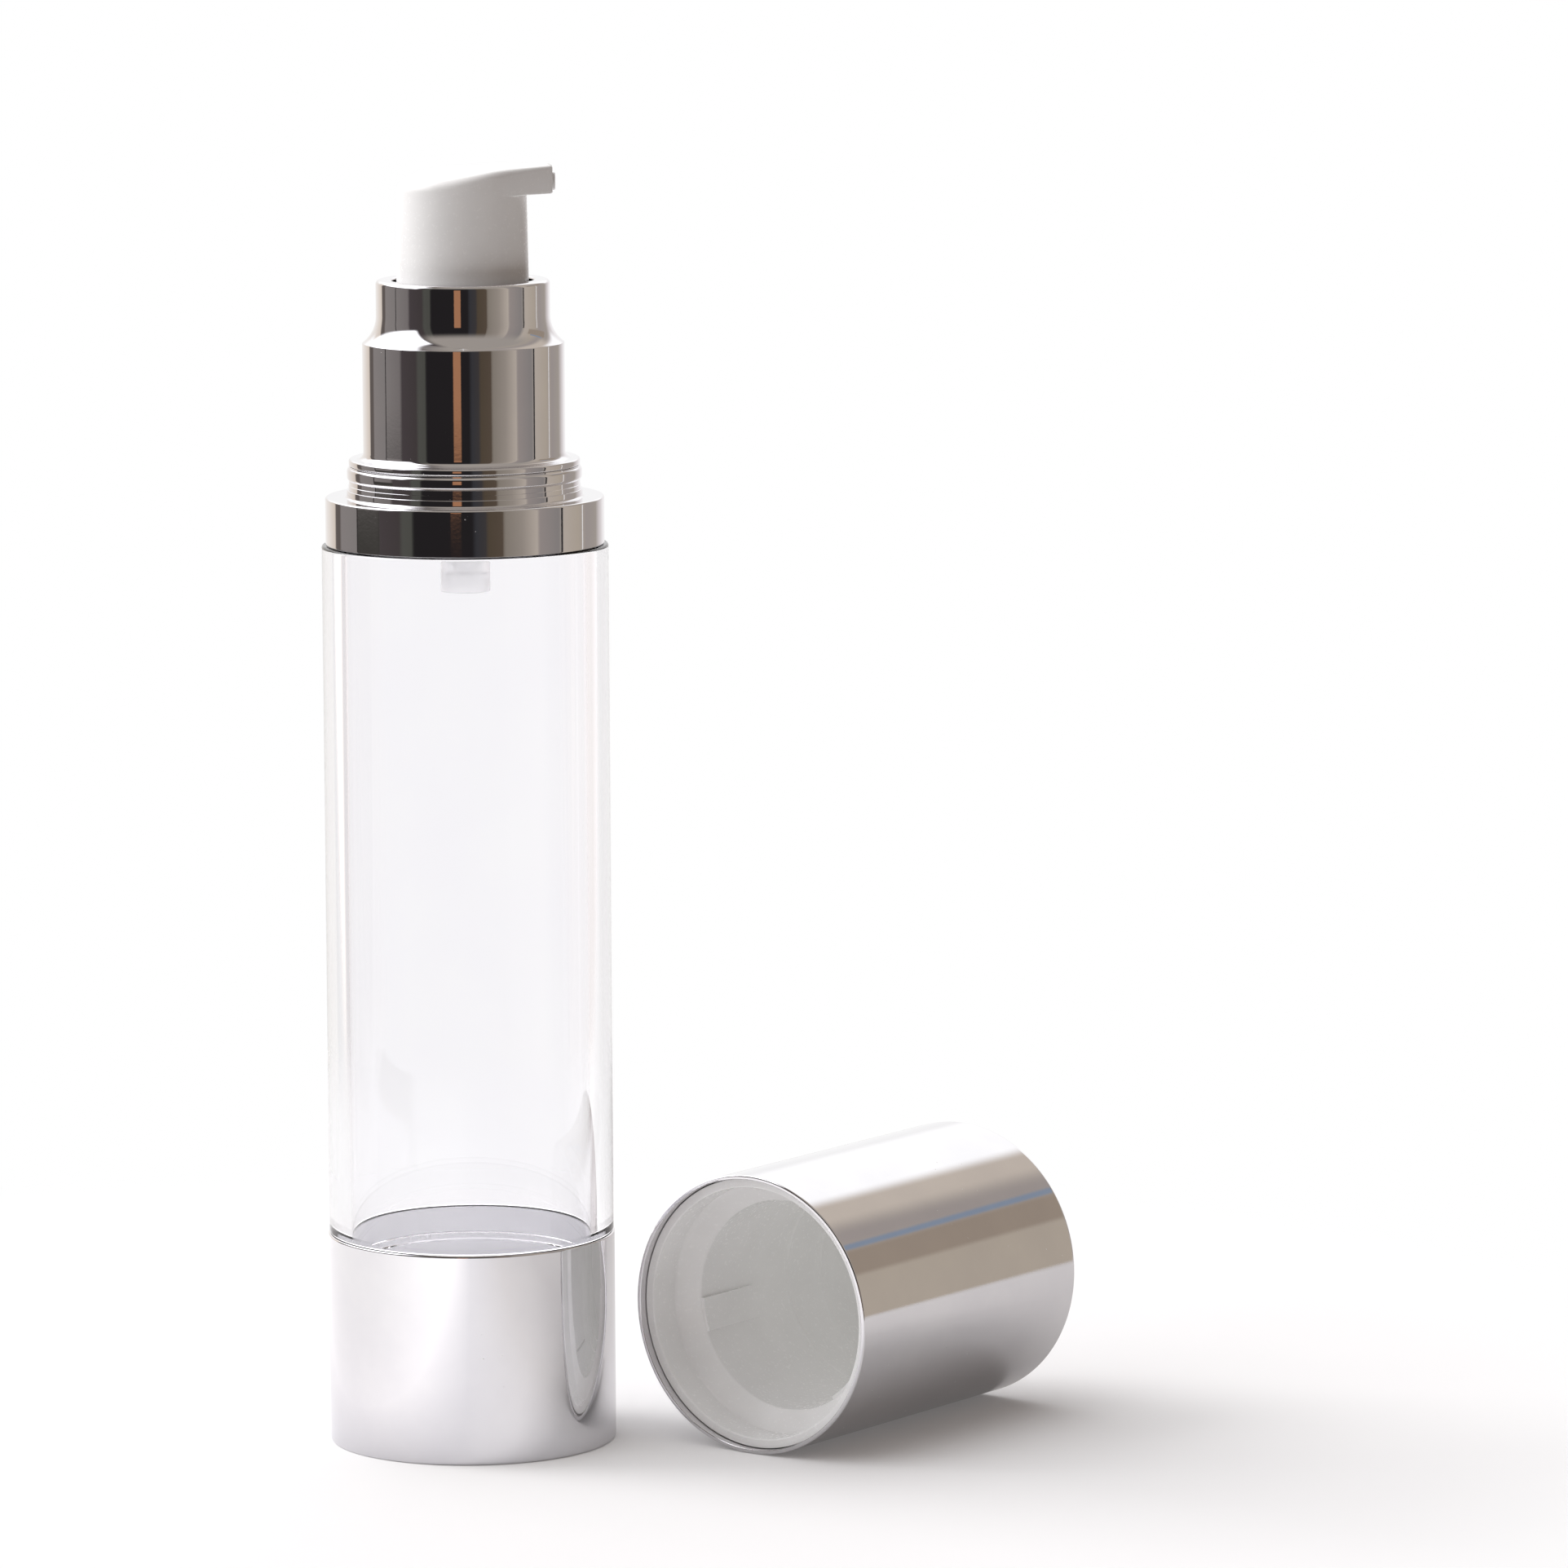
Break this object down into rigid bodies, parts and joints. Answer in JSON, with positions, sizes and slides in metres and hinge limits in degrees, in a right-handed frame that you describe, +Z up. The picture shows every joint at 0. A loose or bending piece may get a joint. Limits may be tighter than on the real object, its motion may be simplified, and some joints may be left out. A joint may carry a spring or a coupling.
{
  "type": "airless pump bottle",
  "caption": "Airless pump bottle: clear wall over a follower piston, mirror-bright base and collar, white press head with a side spout, and its overcap laid beside it.",
  "frame": {"origin": "middle of the base's underside, on the surface that the bottle stands on", "axes": "+Z up along the bottle's axis, +X towards the spout as pictured"},
  "size_m": [0.087, 0.053, 0.1474],
  "materials": {
    "silver_plating": "mirror-bright vacuum-metallised silver on plastic",
    "clear_wall": "clear and glossy, very faint lilac tint",
    "white_gloss": "gloss",
    "white_matte": "satin",
    "natural_plastic": "translucent, natural",
    "natural_solid": "satin",
    "seal_foam": "matte",
    "spring_wire": "drawn wire, satin",
    "ball_glass": "polished"
  },
  "bodies": {
    "bottle": {"base_shell": "silver_plating", "body_tube": "clear_wall", "shoulder": "silver_plating", "inner_plug": "white_matte", "pump_collar": "silver_plating", "pump_closure": "white_matte", "pump_housing": "natural_plastic", "housing_gasket": "seal_foam", "stem_guide": "white_matte", "return_spring": "spring_wire"},
    "plunger": {"stem": "natural_solid", "piston_rod": "natural_solid"},
    "head": {"actuator": "white_gloss", "nozzle_insert": "white_gloss"},
    "pump_seal": {"pump_piston": "white_matte"},
    "check_ball": {"inlet_ball": "ball_glass"},
    "follower": {"follower_piston": "white_matte"},
    "cap": {"overcap_shell": "silver_plating", "overcap_liner": "white_gloss"}
  },
  "joints": [
    {"name": "press", "type": "slide", "parent": "bottle", "child": "plunger", "axis": [0, 0, -1], "range_m": [0, 0.0045], "stiffness_N_per_m": 1500, "springref_m": -0.003, "deforming": ["return_spring"]},
    {"name": "swivel", "type": "hinge", "parent": "plunger", "child": "head", "pos_m": [0, 0, 0.14], "axis": [0, 0, 1], "continuous": true},
    {"name": "outlet_valve", "type": "slide", "parent": "plunger", "child": "pump_seal", "axis": [0, 0, 1], "range_m": [0, 0.0008]},
    {"name": "inlet_valve", "type": "slide", "parent": "bottle", "child": "check_ball", "axis": [0, 0, 1], "range_m": [0, 0.001]},
    {"name": "follower_rise", "type": "slide", "parent": "bottle", "child": "follower", "axis": [0, 0, 1], "range_m": [0, 0.086]},
    {"name": "cap_lift", "type": "slide", "parent": "bottle", "child": "cap", "axis": [0, 0, 1], "range_m": [0, 0.12]}
  ]
}
